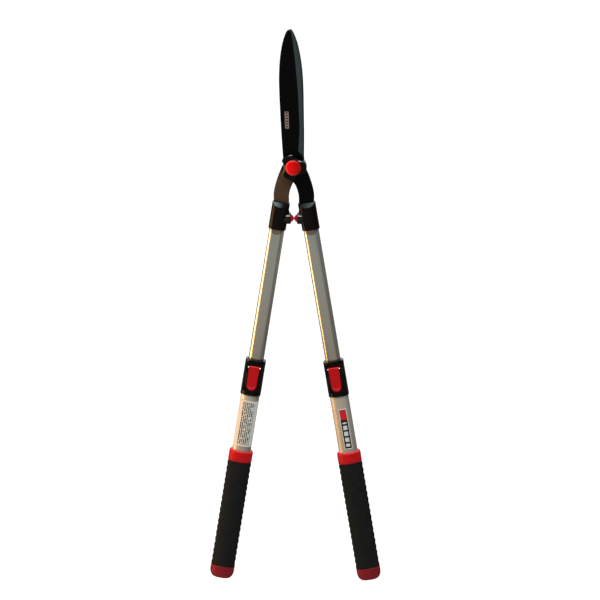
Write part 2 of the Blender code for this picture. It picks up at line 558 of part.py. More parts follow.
# Lower handles: lock housing, lever with its pin and pad, outer tube, label, collar, grip and end cap
lever_axis = {}
pad_axis = {}
for name, side in SIDES.items():
    frame = slide[name]
    housing = add(name + "_lock_housing", sleeve(HOUSING_GROW, None, HOUSING_TOP, HOUSING_BOTTOM), frame, BLACK)
    outer_tube = add(name + "_outer_tube", sleeve(OUTER_TUBE_GROW, OUTER_BORE_GROW, OUTER_TUBE_TOP, GRIP_BOTTOM),
                     frame, ALLOY)

    # The deck, its ears and the rails beside the lever stand on the front of the housing
    half_deck = DECK_WIDTH / 2
    half_lever = LEVER_WIDTH / 2 + GAP
    half_way = LEVER_WIDTH / 2 + LEVER_ROOM
    for part, across, front, top, bottom in (
            ("deck", half_deck, DECK_FRONT, DECK_TOP, DECK_BOTTOM),
            ("ears", half_deck, EAR_FRONT, DECK_TOP + DECK_STEP, EAR_BOTTOM),
            ("rails", half_deck - DECK_STEP, RAIL_FRONT, EAR_BOTTOM - OVERLAP, DECK_BOTTOM - DECK_STEP)):
        mesh = block((-across, -front, -bottom), (across, 0, -top))
        boolean(housing, add(f"{name}_{part}", mesh, frame), "UNION")
    window = PAD_LENGTH / 2 + GAP
    for part, mesh in (
            ("upper_bore", sleeve(GAP, None, HOUSING_TOP - REACH, HOUSING_BOTTOM - OVERLAP)),
            ("lower_bore", sleeve(SEAT_GROW, None, OUTER_TUBE_TOP - GAP, HOUSING_BOTTOM + REACH)),
            ("lever_way", block((-half_way, -EAR_FRONT - REACH, -DECK_BOTTOM - REACH),
                                (half_way, -DECK_FRONT, -DECK_TOP + REACH))),
            ("pad_window", block((-half_lever, -DECK_FRONT - REACH, -PIN_PLACE - window),
                                 (half_lever, 0, -PIN_PLACE + window)))):
        boolean(housing, add(f"{name}_{part}", mesh, frame), "DIFFERENCE")
    pin_place = (0, -PIN_FORWARD, -PIN_PLACE)
    pin_hole = add(name + "_pin_hole", rod(PIN_RADIUS + GAP, -half_deck - REACH, half_deck + REACH, "X", 16),
                   frame, at=pin_place)
    boolean(housing, pin_hole, "DIFFERENCE")
    add(name + "_lever_pin", rod(PIN_RADIUS, -half_deck, half_deck, "X", 16), frame, STEEL, at=pin_place)
    head_seat = TUBE_DEPTH / 2 + HOUSING_GROW + GAP
    screw(name + "_housing_screw", frame, (0, head_seat, -HOUSING_SCREW), HOUSING_WALL + 3 * GAP)
    hole = add(name + "_housing_screw_hole", rod(SCREW_RADIUS + GAP, head_seat - HOUSING_WALL - OUTER_WALL - REACH,
                                                 head_seat + REACH, "Y", 16), frame, at=(0, 0, -HOUSING_SCREW))
    boolean(housing, hole, "DIFFERENCE")
    boolean(outer_tube, hole, "DIFFERENCE")

    # Lever: a tapered plate with a round tab, and the cam round its pin
    lever_axis[name] = empty(name + "_lever_axis", frame, pin_place)
    tab = LEVER_TAB_WIDTH / 2
    plan = [(-LEVER_WIDTH / 2, 0)] + [(tab * cos(radians(a)), tab - LEVER_LENGTH + tab * sin(radians(a)))
                                      for a in range(180, 361, 15)] + [(LEVER_WIDTH / 2, 0)]
    plate_back = DECK_FRONT + GAP - PIN_FORWARD
    lever = add(name + "_lock_lever", prism([plan], plate_back, plate_back + LEVER), lever_axis[name], RED, turn=FLAT)
    cam = add(name + "_cam", rod(CAM_RADIUS, -LEVER_WIDTH / 2, LEVER_WIDTH / 2, "X"), lever_axis[name],
              at=(0, CAM_THROW, 0))
    boolean(lever, cam, "UNION")
    boolean(lever, pin_hole, "DIFFERENCE")
    pad_axis[name] = empty(name + "_pad_axis", frame, (0, -PAD_FRONT, -PIN_PLACE))
    add(name + "_lock_pad", block((-LEVER_WIDTH / 2, 0, -PAD_LENGTH / 2), (LEVER_WIDTH / 2, PAD, PAD_LENGTH / 2)),
        pad_axis[name], BLACK)

    # Label: a film over the front of the outer tube
    top, bottom, start, end = LABELS[name]
    angles = [-pi / 2 + start + (end - start) * i / 12 for i in range(13)]
    film = [on_oval(angle, SEAT_GROW + LABEL) for angle in angles]
    film += [on_oval(angle, SEAT_GROW) for angle in reversed(angles)]
    add(name + "_label", prism([film], -bottom, -top), frame, PAPER if name == "left" else PANEL)

    add(name + "_grip_collar", sleeve(SEAT_GROW + COLLAR_WALL, SEAT_GROW, COLLAR_TOP, GRIP_TOP), frame, RED)
    add(name + "_grip_sleeve", sleeve(SEAT_GROW + GRIP_WALL, SEAT_GROW, GRIP_TOP + GAP, GRIP_BOTTOM), frame, GRIP)
    end_cap = add(name + "_end_cap", sleeve(SEAT_GROW + END_CAP_WALL, None, GRIP_BOTTOM + GAP, END_CAP_BOTTOM),
                  frame, RED)
    shape = bmesh.new()
    shape.from_mesh(end_cap.data)
    rim = [edge for edge in shape.edges if edge.is_manifold and edge.calc_face_angle() > radians(60)
           and all(vert.co.z < -END_CAP_BOTTOM + 1e-5 for vert in edge.verts)]
    bmesh.ops.bevel(shape, geom=rim, offset=END_CAP_ROUND, segments=3, profile=0.5, affect="EDGES",
                    clamp_overlap=True, material=-1)
    shape.to_mesh(end_cap.data)
    shape.free()
    tube_plug = add(name + "_tube_plug", sleeve(OUTER_BORE_GROW - GAP, None, GRIP_BOTTOM - END_CAP_PLUG,
                                                GRIP_BOTTOM + OVERLAP), frame)
    boolean(end_cap, tube_plug, "UNION")
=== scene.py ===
import json
from math import atan2, copysign, cos, hypot, pi, radians, sin, sqrt

import bmesh
import bpy
from mathutils import Matrix, Vector


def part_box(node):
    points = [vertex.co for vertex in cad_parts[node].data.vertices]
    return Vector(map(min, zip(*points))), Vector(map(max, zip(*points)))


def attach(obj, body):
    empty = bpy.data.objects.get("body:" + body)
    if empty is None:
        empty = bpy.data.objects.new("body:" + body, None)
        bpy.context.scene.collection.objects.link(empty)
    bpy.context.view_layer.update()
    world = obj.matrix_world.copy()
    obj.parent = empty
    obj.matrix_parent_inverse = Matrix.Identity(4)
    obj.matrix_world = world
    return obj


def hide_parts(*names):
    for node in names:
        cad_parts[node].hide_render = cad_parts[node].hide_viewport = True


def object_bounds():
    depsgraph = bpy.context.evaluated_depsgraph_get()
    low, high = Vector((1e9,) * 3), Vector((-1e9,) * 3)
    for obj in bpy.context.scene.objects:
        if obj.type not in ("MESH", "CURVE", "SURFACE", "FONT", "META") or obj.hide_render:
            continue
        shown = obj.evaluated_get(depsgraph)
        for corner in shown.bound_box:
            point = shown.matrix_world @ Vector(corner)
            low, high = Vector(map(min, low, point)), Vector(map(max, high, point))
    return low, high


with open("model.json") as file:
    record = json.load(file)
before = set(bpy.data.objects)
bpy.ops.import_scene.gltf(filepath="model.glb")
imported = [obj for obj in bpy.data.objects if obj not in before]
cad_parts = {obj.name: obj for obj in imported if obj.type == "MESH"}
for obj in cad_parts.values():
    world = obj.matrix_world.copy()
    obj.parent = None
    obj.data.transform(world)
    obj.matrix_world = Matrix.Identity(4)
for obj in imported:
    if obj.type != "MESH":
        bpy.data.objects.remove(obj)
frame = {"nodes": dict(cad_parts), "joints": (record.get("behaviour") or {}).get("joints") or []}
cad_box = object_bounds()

# Studio: a plain pale floor well below the hanging shears, a tall warm soft box on the left that draws the
# long highlights, a wide one above in front, a dim card low in front for the metal to mirror, and a camera
# a little above the shears and a little to their right.
CAMERA_TURN = radians(4)
CAMERA_RISE = radians(15)
CAMERA_AWAY = 24
CAMERA_LENS = 960
CAMERA_ROLL = radians(0.22)
AIM = Vector((0.0085, 0, -0.1692))
FLOOR_DROP = 1.0
FLOOR_SIDE = 60
FLOOR_CLOUD = 0.667             # how far apart the clouds of tone in its paint are

scene = bpy.context.scene
scene.view_settings.view_transform = "Standard"


def colour(text):
    """An sRGB hex value as linear light."""
    parts = [int(text[start:start + 2], 16) / 255 for start in (1, 3, 5)]
    return (*(part / 12.92 if part <= 0.04045 else ((part + 0.055) / 1.055) ** 2.4 for part in parts), 1)


def make_material(name, settings):
    """A material of one finish, and its shader with the values that are the same all over."""
    material = bpy.data.materials.new(name)
    material.use_nodes = True
    shader = material.node_tree.nodes["Principled BSDF"]
    for socket, value in settings.items():
        shader.inputs[socket].default_value = value
    return material, shader


def add_node(material, kind, settings=None, links=None):
    """Adds a node with its settings, and joins the given outputs to its inputs."""
    node = material.node_tree.nodes.new("ShaderNode" + kind)
    for key, value in (settings or {}).items():
        if isinstance(key, str) and hasattr(node, key):
            setattr(node, key, value)
        else:
            node.inputs[key].default_value = value
    for key, output in (links or {}).items():
        material.node_tree.links.new(output, node.inputs[key])
    return node


def join(material, output, target):
    """Joins a node's output to an input of the shader."""
    material.node_tree.links.new(output, target)


def aimed(obj, at, target):
    """Puts a lamp or a camera in its place, turned towards its target."""
    obj.location = at
    obj.rotation_euler = (Vector(target) - Vector(at)).to_track_quat("-Z", "Y").to_euler()
    scene.collection.objects.link(obj)
    return obj


def soft_box(name, at, target, width, height, radiance, tint):
    """A rectangular lamp that mirrors in the shears and doesn't show itself."""
    lamp = bpy.data.lights.new(name, "AREA")
    lamp.shape = "RECTANGLE"
    lamp.size, lamp.size_y = width, height
    lamp.energy = radiance * pi * width * height
    lamp.color = colour(tint)[:3]
    aimed(bpy.data.objects.new(name, lamp), at, target).visible_camera = False


towards_camera = Vector((sin(CAMERA_TURN) * cos(CAMERA_RISE), -cos(CAMERA_TURN) * cos(CAMERA_RISE),
                         sin(CAMERA_RISE)))
camera_data = bpy.data.cameras.new("camera")
camera_data.lens = CAMERA_LENS
camera_data.sensor_width = 36
camera_data.clip_start, camera_data.clip_end = 1, 100
camera = aimed(bpy.data.objects.new("camera", camera_data), AIM + towards_camera * CAMERA_AWAY, AIM)
level = camera.rotation_euler.to_matrix()
camera.rotation_euler = (level @ Matrix.Rotation(-CAMERA_ROLL, 3, "Z")).to_euler()
scene.camera = camera

soft_box("left_strip", at=(-1.13, -0.2, -0.2), target=(0, 0, -0.2), width=0.62, height=1.7,
         radiance=5.5, tint="#FFC98C")
soft_box("top_strip", at=(-0.1, -0.95, 1.55), target=(0, 0, -0.1), width=1.7, height=0.4,
         radiance=11, tint="#FFFFFF")
soft_box("overhead", at=(0.1, 0.35, 1.5), target=(0, 0, -0.1), width=1.4, height=1.4,
         radiance=2.2, tint="#EAF2FF")
soft_box("front_card", at=(-0.05, -1.6, -0.6), target=(0, 0, -0.2), width=2.6, height=1.4,
         radiance=0.19, tint="#F4F6F2")
soft_box("back_fill", at=(0.3, 1.8, 0.5), target=(0, 0, -0.1), width=1.6, height=1.6,
         radiance=1.4, tint="#FFFFFF")

sun_data = bpy.data.lights.new("sky", "SUN")
sun_data.energy = 3.2
sun_data.angle = radians(70)
aimed(bpy.data.objects.new("sky", sun_data), (0, -0.6, 3), (0, 0, 0))

world = bpy.data.worlds.new("studio")
world.use_nodes = True
world.node_tree.nodes["Background"].inputs["Color"].default_value = colour("#FFFFFF")
world.node_tree.nodes["Background"].inputs["Strength"].default_value = 0.16
scene.world = world

shape = bmesh.new()
bmesh.ops.create_grid(shape, x_segments=1, y_segments=1, size=FLOOR_SIDE / 2)
bmesh.ops.translate(shape, verts=shape.verts, vec=(0, 0, cad_box[0].z - FLOOR_DROP))
floor_mesh = bpy.data.meshes.new("floor")
shape.to_mesh(floor_mesh)
shape.free()
floor = bpy.data.objects.new("floor", floor_mesh)
floor.visible_glossy = False
scene.collection.objects.link(floor)

# Painted studio floor: a dry matt white with a faint cloudiness, so it is one even pale tone.
paint, shader = make_material("matt_white_paint", {"Roughness": 0.9})
place = add_node(paint, "TexCoord")
cloud = add_node(paint, "TexNoise", {"Scale": 1 / FLOOR_CLOUD}, {"Vector": place.outputs["Object"]})
tone = add_node(paint, "Mix", {"data_type": "RGBA", 6: colour("#FAFAFA"), 7: colour("#FFFFFF")},
                {0: cloud.outputs["Fac"]})
join(paint, tone.outputs[2], shader.inputs["Base Color"])
floor_mesh.materials.append(paint)


# Blades: two stamped 4 mm carbon-steel plates that run from the tip through the hub and the arm to the tang
# in the handle, with a black low-friction coating. The cutting edge is ground after blanking, and the
# outline keeps a small rounding from tumbling.
MM = 0.001
BLADE_ROUNDING = 0.3 * MM
BLADE_LEAN = radians(1.6)
GROUND_TILT = (sin(radians(6)), sin(radians(80)))   # sine of a ground face's lean from the plate's face
HEEL = 13 * MM                  # the grinding starts this far above the pivot
COAT_GRAIN = 0.8 * MM
COAT_RELIEF = 0.004 * MM
GRIND_LINE = 0.4 * MM
GRIND_RUN = 6.667 * MM
NOISE_RANGE = (0.3, 0.7)        # most of a noise texture lies between these
MERGE = 0.002 * MM
FLAT_WITHIN = radians(0.5)
SMOOTH_WITHIN = radians(34)
pivot_low, pivot_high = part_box("pivot_bolt")
PIVOT = Vector((0, 0, (pivot_low.z + pivot_high.z) / 2))


def copy_of(node):
    """A CAD node's shape as one merged mesh, without the lines across its flat faces."""
    shape = bmesh.new()
    shape.from_mesh(frame["nodes"][node].data)
    bmesh.ops.remove_doubles(shape, verts=shape.verts, dist=MERGE)
    bmesh.ops.dissolve_limit(shape, angle_limit=FLAT_WITHIN, verts=shape.verts, edges=shape.edges)
    return shape


def round_edges(shape, width, segments=2, over=30):
    """Rounds the edges whose faces meet at more than this many degrees, and gives back the new faces."""
    sharp = [edge for edge in shape.edges if edge.is_manifold and edge.calc_face_angle() > radians(over)]
    return bmesh.ops.bevel(shape, geom=sharp, offset=width, segments=segments, profile=0.5,
                           affect="EDGES", material=-1, clamp_overlap=True)["faces"]


def piece(name, shape, materials, body, nodes=(), flat=False):
    """Makes the shape an object that rides on a body and stands for its CAD nodes. flat keeps the shading
    of its flat faces even up to their rounded edges."""
    bmesh.ops.recalc_face_normals(shape, faces=shape.faces)
    mesh = bpy.data.meshes.new(name)
    shape.to_mesh(mesh)
    shape.free()
    for material in materials:
        mesh.materials.append(material)
    mesh.shade_smooth()
    mesh.set_sharp_from_angle(angle=SMOOTH_WITHIN)
    obj = bpy.data.objects.new(name, mesh)
    scene.collection.objects.link(obj)
    if flat:
        obj.modifiers.new("even_normals", "WEIGHTED_NORMAL").keep_sharp = True
    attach(obj, body)
    if nodes:
        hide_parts(*nodes)


def grain(material, shader, size, depth, strength=1.0, gloss=None):
    """The fine relief that the mould or the coating leaves, with bumps of this size. gloss is the least and
    the most roughness, which changes with the relief."""
    place = add_node(material, "TexCoord")
    noise = add_node(material, "TexNoise", {"Scale": 1 / size, "Detail": 3},
                     {"Vector": place.outputs["Object"]})
    bump = add_node(material, "Bump", {"Distance": depth, "Strength": strength},
                    {"Height": noise.outputs["Fac"]})
    join(material, bump.outputs["Normal"], shader.inputs["Normal"])
    if gloss:
        rough = add_node(material, "MapRange",
                         {"From Min": NOISE_RANGE[0], "From Max": NOISE_RANGE[1], "To Min": gloss[0],
                          "To Max": gloss[1]}, {"Value": noise.outputs["Fac"]})
        join(material, rough.outputs["Result"], shader.inputs["Roughness"])
    return place, noise


# PTFE coating on steel: near black, a satin gloss, with the faint unevenness of a baked film. Each blade's
# plate has its own version of it. The grain is drawn coarser than the real 0.1 mm so that it shows.
COATING = {"Base Color": colour("#030304"), "Roughness": 0.3, "IOR": 1.4, "Specular IOR Level": 0.1}

# On the back blade the arm below the hub is painted brown-black, a painted reflection of the warm light
# that the arm mirrors, fading in below the hub.
ARM_REFLECTION_START = PIVOT.z - 4 * MM
ARM_REFLECTION_FULL = PIVOT.z - 13 * MM
warm, shader = make_material("ptfe_coated_steel_painted_reflection", COATING)
place, _ = grain(warm, shader, COAT_GRAIN, COAT_RELIEF)
axes = add_node(warm, "SeparateXYZ", None, {0: place.outputs["Object"]})
lower = add_node(warm, "MapRange", {"From Min": ARM_REFLECTION_START, "From Max": ARM_REFLECTION_FULL},
                 {"Value": axes.outputs["Z"]})
tone = add_node(warm, "Mix", {"data_type": "RGBA", 6: COATING["Base Color"], 7: colour("#3F2F21")},
                {0: lower.outputs["Result"]})
join(warm, tone.outputs[2], shader.inputs["Base Color"])

# Ground edge under the coating: the grinding lines run across the blade and give a slate sheen. They are
# drawn 0.4 mm apart so that they show.
ground, shader = make_material("ground_coated_steel", {"Roughness": 0.38, "Metallic": 0.35})
place = add_node(ground, "TexCoord")
across = add_node(ground, "Mapping", {"Scale": (1 / GRIND_RUN, 1 / GRIND_RUN, 1 / GRIND_LINE)},
                  {"Vector": place.outputs["Object"]})
lines = add_node(ground, "TexNoise", {"Scale": 1, "Detail": 2}, {"Vector": across.outputs["Vector"]})
bump = add_node(ground, "Bump", {"Distance": 0.01 * MM, "Strength": 0.6}, {"Height": lines.outputs["Fac"]})
join(ground, bump.outputs["Normal"], shader.inputs["Normal"])
tone = add_node(ground, "Mix", {"data_type": "RGBA", 6: colour("#222D2F"), 7: colour("#334042")},
                {0: lines.outputs["Fac"]})
join(ground, tone.outputs[2], shader.inputs["Base Color"])

# On the front blade a mark is etched: a plain outlined block with bars across it, where the coating is
# burnt through to a dull brown-grey.
ETCH_CENTRE = (-6.9 * MM, 71 * MM)      # across the blade, and above the pivot
ETCH_HALF = (2.9 * MM, 13 * MM)
ETCH_LINE = 0.8 * MM
ETCH_PITCH = 4.2 * MM
ETCH_GAP = 0.24                         # half of the gap between two bars, as a share of their pitch
ETCH_FACE = -4 * MM                     # only in front of this
etched, shader = make_material("etched_coated_steel", COATING)
place, _ = grain(etched, shader, COAT_GRAIN, COAT_RELIEF)
upright = add_node(etched, "Mapping", {"vector_type": "POINT", "Location": -PIVOT,
                                       "Rotation": (0, BLADE_LEAN, 0)}, {"Vector": place.outputs["Object"]})
axes = add_node(etched, "SeparateXYZ", None, {0: upright.outputs["Vector"]})
blocks = []
for inset in (0, ETCH_LINE):
    in_x = add_node(etched, "Math", {"operation": "COMPARE", 1: ETCH_CENTRE[0], 2: ETCH_HALF[0] - inset},
                    {0: axes.outputs["X"]})
    in_z = add_node(etched, "Math", {"operation": "COMPARE", 1: ETCH_CENTRE[1], 2: ETCH_HALF[1] - inset},
                    {0: axes.outputs["Z"]})
    blocks.append(add_node(etched, "Math", {"operation": "MULTIPLY"},
                           {0: in_x.outputs[0], 1: in_z.outputs[0]}))
whole, inner = blocks
front = add_node(etched, "Math", {"operation": "LESS_THAN", 1: ETCH_FACE}, {0: axes.outputs["Y"]})
count = add_node(etched, "Math", {"operation": "MULTIPLY", 1: 1 / ETCH_PITCH}, {0: axes.outputs["Z"]})
share = add_node(etched, "Math", {"operation": "FRACT"}, {0: count.outputs[0]})
gap = add_node(etched, "Math", {"operation": "COMPARE", 1: 0.5, 2: ETCH_GAP}, {0: share.outputs[0]})
gaps = add_node(etched, "Math", {"operation": "MULTIPLY"}, {0: inner.outputs[0], 1: gap.outputs[0]})
burnt = add_node(etched, "Math", {"operation": "SUBTRACT"}, {0: whole.outputs[0], 1: gaps.outputs[0]})
mark = add_node(etched, "Math", {"operation": "MULTIPLY"}, {0: burnt.outputs[0], 1: front.outputs[0]})
tone = add_node(etched, "Mix", {"data_type": "RGBA", 6: COATING["Base Color"], 7: colour("#75665C")},
                {0: mark.outputs[0]})
join(etched, tone.outputs[2], shader.inputs["Base Color"])

for name, body, coating, facing in (("front_blade", "front_half", etched, -1),
                                    ("back_blade", "back_half", warm, 1)):
    shape = copy_of(name)
    shape.normal_update()
    for face in shape.faces:
        lean = hypot(face.normal.x, face.normal.z)
        if GROUND_TILT[0] < lean < GROUND_TILT[1] and face.normal.y * facing > 0 \
                and face.calc_center_median().z > PIVOT.z + HEEL:
            face.material_index = 1
    round_edges(shape, BLADE_ROUNDING, over=50)
    piece(name + "_plate", shape, [coating, ground], body, [name], flat=True)

# Pivot hardware: zinc-plated bolt, washers, nut and screws. Turned and stamped, then barrel plated, so the
# metal is bright but softly cloudy. The CAD nodes have the right shape and stay.
SIDES = {"left": -1, "right": 1}
HALVES = {"left": "back_half", "right": "front_half"}


def refinish(name, material):
    """Gives its finish to a CAD node that stays."""
    node = frame["nodes"][name]
    node.data.materials.clear()
    node.data.materials.append(material)


zinc, shader = make_material("zinc_plated_steel", {"Base Color": colour("#C9CBCB"), "Metallic": 1})
grain(zinc, shader, size=0.7 * MM, depth=0.01 * MM, strength=0.5, gloss=(0.3, 0.36))
for name in ("pivot_bolt", "back_washer", "spring_washer", "pivot_nut"):
    refinish(name, zinc)
for side in SIDES:
    for name in ("ferrule_screw_upper", "ferrule_screw_lower", "housing_screw", "lever_pin"):
        refinish(side + "_" + name, zinc)

# Tension knob: glass-filled nylon, moulded black with three lobes for the fingers. The nut sits in a pocket
# in its back and the red cap snaps into a recess in its front. Every outer edge has a moulded radius.
KNOB_RADIUS = 20 * MM
KNOB_WAIST = 14 * MM
KNOB_LOBE = radians(55)
KNOB_TURN = radians(2)
KNOB_ROUND = 0.8 * MM           # its back edge
KNOB_BEVEL = 1.1 * MM           # width of the rim facet seen from the front
KNOB_RISE = 0.8 * MM
RIM_TILT = (0.7, 0.92)          # cosine of the rim facet's lean from the knob's face
RIM_BAND = 1 * MM               # the facet lies within this of the face
NUT_POCKET = 8 * MM
NUT_ROOM = 0.3 * MM
CAP_RECESS = 12.1 * MM
CAP_MOUTH = 0.4 * MM
CAP_SEAT = 1.9 * MM
MIDDLE = 1 * MM                 # a flat end closes with a face of this radius
# The knob's front rim: how far below the face, and how far in from the side.
KNOB_RIM = ((KNOB_RISE + 0.25 * MM, 0), (KNOB_RISE + 0.08 * MM, 0.06 * MM), (KNOB_RISE, 0.15 * MM),
            (0.08 * MM, KNOB_BEVEL + 0.15 * MM), (0, KNOB_BEVEL + 0.4 * MM))
knob_low, knob_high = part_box("tension_knob")
knob_back, knob_front = -knob_high.y, -knob_low.y
nut_front = -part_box("pivot_nut")[0].y
AT_PIVOT = Matrix.Translation(PIVOT) @ Matrix.Rotation(pi / 2, 4, "X")      # +Z becomes forwards


def skin(stations, points=72, closed=False):
    """A surface through a stack of rings. Each station is a height, and a section that gives the ring's
    point at an angle. A closed stack runs back into its first ring, and others are capped."""
    shape = bmesh.new()
    around = shape.verts.layers.float.new("around")
    ring = bmesh.ops.create_circle(shape, segments=points, radius=1)["verts"]
    for vert in ring:
        vert[around] = atan2(vert.co.y, vert.co.x)
    edges = first = shape.edges[:]
    for number, (height, section) in enumerate(list(stations) + ([stations[0]] if closed else [])):
        if number:
            made = bmesh.ops.extrude_edge_only(shape, edges=edges)["geom"]
            ring = [item for item in made if isinstance(item, bmesh.types.BMVert)]
            new = set(ring)
            edges = [item for item in made if isinstance(item, bmesh.types.BMEdge)
                     and item.verts[0] in new and item.verts[1] in new]
        for vert in ring:
            vert.co = (*section(vert[around]), height)
    if closed:
        bmesh.ops.remove_doubles(shape, verts=shape.verts, dist=1e-7)
    else:
        bmesh.ops.contextual_create(shape, geom=first)
        bmesh.ops.contextual_create(shape, geom=edges)
    bmesh.ops.recalc_face_normals(shape, faces=shape.faces)
    return shape


def placed(shape, matrix):
    """Moves a whole shape from its own axes to its place."""
    bmesh.ops.transform(shape, matrix=matrix, verts=shape.verts)
    return shape


def disc(radius):
    """The section of a turned piece."""
    return lambda angle: (radius * cos(angle), radius * sin(angle))


def knob_outline(inset):
    """Three arcs of KNOB_RADIUS joined by hollows that reach in to KNOB_WAIST, all moved in by inset."""
    spread = pi / 3 - KNOB_LOBE / 2
    across, up = KNOB_RADIUS * cos(spread), KNOB_RADIUS * sin(spread)
    centre = (across ** 2 + up ** 2 - KNOB_WAIST ** 2) / (2 * (across - KNOB_WAIST))
    hollow = centre - KNOB_WAIST

    def section(angle):
        off = ((angle - KNOB_TURN) % (2 * pi / 3)) - pi / 3
        reach = KNOB_RADIUS
        if abs(off) < spread:
            reach = centre * cos(off) - sqrt(hollow ** 2 - (centre * sin(off)) ** 2)
        return (reach - inset) * cos(angle), (reach - inset) * sin(angle)
    return section


def rounded(radius, steps=4):
    """(inset, drop) pairs round a quarter circle, from the side of a piece to its face."""
    turns = [pi / 2 * step / steps for step in range(steps + 1)]
    return [(radius * (1 - cos(turn)), radius * (1 - sin(turn))) for turn in turns]


# Glass-filled nylon: soot black with a soft gloss and a fine spark-eroded grain, drawn 0.6 mm wide so that
# it shows.
nylon, shader = make_material("moulded_black_nylon", {"Base Color": colour("#020202"), "IOR": 1.5,
                                                      "Specular IOR Level": 0.2,
                                                      "Specular Tint": colour("#FFECDC")})
grain(nylon, shader, size=0.6 * MM, depth=0.012 * MM, strength=0.5, gloss=(0.24, 0.34))

# The facet round the knob's rim, rubbed bright by gloves.
rubbed, shader = make_material("rubbed_black_nylon", {"Base Color": colour("#030303"), "Roughness": 0.14,
                                                      "IOR": 1.5, "Specular IOR Level": 0.6})
grain(rubbed, shader, size=0.6 * MM, depth=0.006 * MM, strength=0.4)

stations = [(nut_front + NUT_ROOM, disc(MIDDLE)), (nut_front + NUT_ROOM, disc(NUT_POCKET)),
            (knob_back, disc(NUT_POCKET))]
stations += [(knob_back + drop, knob_outline(inset)) for inset, drop in rounded(KNOB_ROUND)[::-1]]
stations += [(knob_front - drop, knob_outline(inset)) for drop, inset in KNOB_RIM]
stations += [(knob_front, disc(CAP_RECESS + CAP_MOUTH)), (knob_front - CAP_MOUTH, disc(CAP_RECESS)),
             (knob_front - CAP_SEAT, disc(CAP_RECESS)), (knob_front - CAP_SEAT, disc(MIDDLE))]
shape = skin(stations, points=180)
shape.normal_update()
for face in shape.faces:
    if RIM_TILT[0] < face.normal.z < RIM_TILT[1] and face.calc_center_median().z > knob_front - RIM_BAND:
        face.material_index = 1
piece("tension_knob_body", placed(shape, AT_PIVOT), [nylon, rubbed], "tension_knob",
      ["tension_knob"], flat=True)

# Knob cap: a gloss red ABS disc with a bevelled rim and a low dome, and the trace of its sprue in the
# middle. It snaps into the knob and hides the nut.
CAP_RADIUS = 11.8 * MM
CAP_SIDE = 1.1 * MM
CAP_RIM = 2 * MM
CAP_BEVEL = 0.9 * MM
CAP_DOME = 1.4 * MM
DOME_RADIUS = CAP_RADIUS - CAP_RIM
DOME_STEP = 6                   # degrees
SPRUE = 0.7 * MM
SPRUE_FLOOR = 0.56 * MM
SPRUE_MIDDLE = 0.21 * MM
SPRUE_DEPTH = 0.15 * MM
# The cap's outline up to the dome: height above its back, and radius.
CAP_EDGE = ((0, MIDDLE), (0, CAP_RADIUS - 0.3 * MM), (0.3 * MM, CAP_RADIUS),
            (CAP_SIDE - 0.2 * MM, CAP_RADIUS), (CAP_SIDE + 0.1 * MM, CAP_RADIUS - 0.2 * MM),
            (CAP_SIDE + CAP_BEVEL - 0.12 * MM, DOME_RADIUS + 0.15 * MM))
cap_back = -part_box("knob_cap")[1].y


def moulded_red(name, dark, light, gloss, painted_shade=None):
    """ABS of one red, glossy from a polished mould and a little softer where it has been handled.
    painted_shade is
    the painted shade: the darker colour it fades to, and where that starts and ends from left to right."""
    material, shader = make_material(name, {"IOR": 1.5, "Specular IOR Level": 0.1})
    place, noise = grain(material, shader, size=1.2 * MM, depth=0.01 * MM, strength=0.35, gloss=gloss)
    tone = add_node(material, "Mix", {"data_type": "RGBA", 6: colour(dark), 7: colour(light)},
                    {0: noise.outputs["Fac"]})
    if painted_shade:
        axes = add_node(material, "SeparateXYZ", None, {0: place.outputs["Object"]})
        fade = add_node(material, "MapRange", {"From Min": painted_shade[1], "From Max": painted_shade[2]},
                        {"Value": axes.outputs["X"]})
        tone = add_node(material, "Mix", {"data_type": "RGBA", 7: colour(painted_shade[0])},
                        {0: fade.outputs["Result"], 6: tone.outputs[2]})
    join(material, tone.outputs[2], shader.inputs["Base Color"])
    return material


# Red ABS: saturated and glossy, with a painted highlight on the bevelled rim; both painted darker to the
# right as shade.
cap_red = moulded_red("gloss_red_abs", "#B80001", "#C20102", (0.2, 0.3), ("#7A0003", -7 * MM, 11 * MM))
cap_rim_highlight_red = moulded_red("painted_highlight_red_abs", "#C4302A", "#CE3A34", (0.3, 0.4), ("#8A1418", -9 * MM, 9 * MM))

stations = [(cap_back + height, disc(radius)) for height, radius in CAP_EDGE]
dome_foot = cap_back + CAP_SIDE + CAP_BEVEL
for turn in range(90, 4, -DOME_STEP):
    stations.append((dome_foot + CAP_DOME * cos(radians(turn)), disc(DOME_RADIUS * sin(radians(turn)))))
top = dome_foot + CAP_DOME
stations += [(top, disc(SPRUE)), (top - SPRUE_DEPTH, disc(SPRUE_FLOOR)),
             (top - SPRUE_DEPTH, disc(SPRUE_MIDDLE))]
shape = skin(stations, points=120)
for face in shape.faces:
    middle = face.calc_center_median()
    if hypot(middle.x, middle.y) > DOME_RADIUS and middle.z > cap_back + CAP_SIDE:
        face.material_index = 1
piece("knob_cap_dome", placed(shape, AT_PIVOT), [cap_red, cap_rim_highlight_red], "tension_knob",
      ["knob_cap"])

